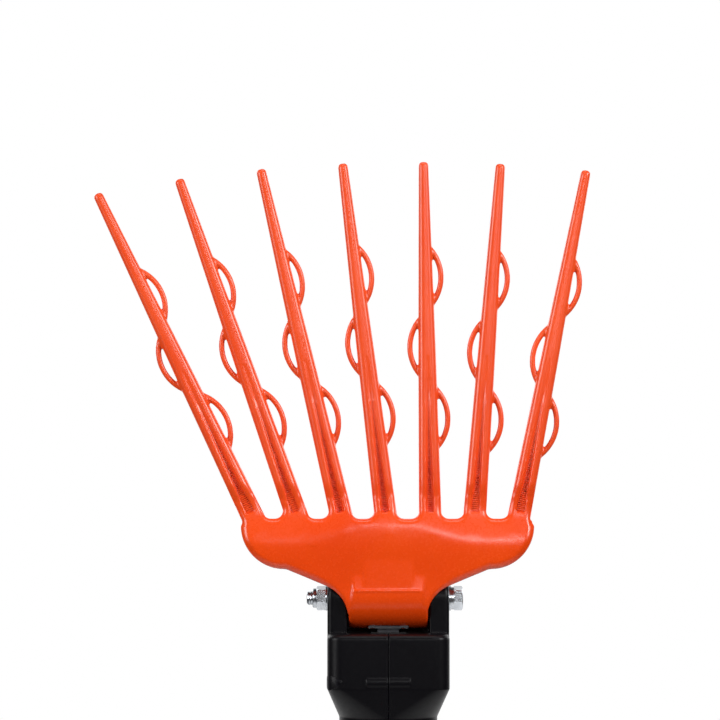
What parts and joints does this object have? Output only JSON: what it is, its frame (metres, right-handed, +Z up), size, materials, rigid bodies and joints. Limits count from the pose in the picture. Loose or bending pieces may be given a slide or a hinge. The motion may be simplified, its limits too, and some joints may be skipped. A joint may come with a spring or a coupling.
{
  "type": "olive harvester head",
  "caption": "Pole-mounted electric olive harvester head: a fan-shaped rake of looped fingers, rocked on a cross bolt by a geared motor in a split housing with a pole clamp.",
  "frame": {"origin": "centre of the pole socket's mouth, on the pole axis", "axes": "+Z up the pole axis to the rake, -Y out of the rake's front, X along the rake's pivot bolt"},
  "size_m": [0.2979, 0.0842, 0.5034],
  "materials": {
    "rake_plastic": "satin moulded, orange red",
    "housing_plastic": "fine moulded grain, black",
    "zinc_steel": "bright zinc plate",
    "dark_steel": "oiled black steel",
    "bearing_steel": "ground",
    "bronze": "sintered",
    "cast_aluminium": "cast, tumbled",
    "white_nylon": "plain",
    "black_rubber": "matt",
    "ferrite": "sintered",
    "copper": "enamelled wire",
    "carbon": "pressed carbon",
    "gland_plastic": "smooth black",
    "motor_plastic": "moulded"
  },
  "bodies": {
    "housing": {"housing_left": "housing_plastic", "housing_right": "housing_plastic", "housing_screws": "dark_steel", "slot_seal": "black_rubber", "pivot_bolt": "zinc_steel", "pivot_nut": "zinc_steel", "nut_locking_ring": "white_nylon", "pivot_washers": "zinc_steel", "pivot_spring_washer": "zinc_steel", "pivot_sleeve": "bearing_steel", "gearbox_plate": "cast_aluminium", "output_bearings": "bearing_steel", "bearing_spacer": "bearing_steel", "ring_gear": "dark_steel", "gearbox_dowels": "bearing_steel", "motor_plate": "dark_steel", "motor_screws": "zinc_steel", "motor_can": "zinc_steel", "motor_magnets": "ferrite", "motor_end_cap": "motor_plastic", "motor_terminals": "copper", "brush_holder": "motor_plastic", "motor_brushes": "carbon", "motor_bushes": "bronze", "gland_body": "gland_plastic", "gland_nut": "gland_plastic", "gland_cap": "gland_plastic", "gland_grommet": "black_rubber", "pole_socket": "cast_aluminium", "socket_pins": "bearing_steel", "clamp_screws": "zinc_steel", "clamp_nuts": "zinc_steel"},
    "rake": {"rake_palm": "rake_plastic", "rake_finger_1": "rake_plastic", "rake_finger_2": "rake_plastic", "rake_finger_3": "rake_plastic", "rake_finger_4": "rake_plastic", "rake_finger_5": "rake_plastic", "rake_finger_6": "rake_plastic", "rake_finger_7": "rake_plastic", "hub_bushes": "bronze", "rocker_yoke": "dark_steel", "yoke_screws": "zinc_steel"},
    "crank": {"crank_head": "dark_steel", "carrier_shaft": "bearing_steel", "crank_grub_screw": "dark_steel", "drive_bearing": "bearing_steel", "crank_clip": "dark_steel", "planet_pins": "bearing_steel"},
    "planet_1": {"planet_gear_1": "dark_steel"},
    "planet_2": {"planet_gear_2": "dark_steel"},
    "planet_3": {"planet_gear_3": "dark_steel"},
    "rotor": {"motor_shaft": "bearing_steel", "sun_gear": "dark_steel", "armature_stack": "dark_steel", "armature_windings": "copper", "commutator": "copper"}
  },
  "joints": [
    {"name": "rake_swing", "type": "hinge", "parent": "housing", "child": "rake", "pos_m": [0, 0, 0.2411], "axis": [1, 0, 0], "range_deg": [-6.5, 6.5]},
    {"name": "crank_spin", "type": "hinge", "parent": "housing", "child": "crank", "pos_m": [0, 0, 0.19], "axis": [0, 0, 1], "continuous": true},
    {"name": "rotor_spin", "type": "hinge", "parent": "housing", "child": "rotor", "pos_m": [0, 0, 0.13], "axis": [0, 0, 1], "continuous": true},
    {"name": "planet_1_spin", "type": "hinge", "parent": "crank", "child": "planet_1", "pos_m": [0, 0.0135, 0.163], "axis": [0, 0, 1], "continuous": true},
    {"name": "planet_2_spin", "type": "hinge", "parent": "crank", "child": "planet_2", "pos_m": [-0.01169, -0.00675, 0.163], "axis": [0, 0, 1], "continuous": true},
    {"name": "planet_3_spin", "type": "hinge", "parent": "crank", "child": "planet_3", "pos_m": [0.01169, -0.00675, 0.163], "axis": [0, 0, 1], "continuous": true}
  ],
  "couplings": [
    {"joint": "rotor_spin", "follows": "crank_spin", "ratio": 4.5},
    {"joint": "planet_1_spin", "follows": "crank_spin", "ratio": -2.8},
    {"joint": "planet_2_spin", "follows": "crank_spin", "ratio": -2.8},
    {"joint": "planet_3_spin", "follows": "crank_spin", "ratio": -2.8}
  ]
}
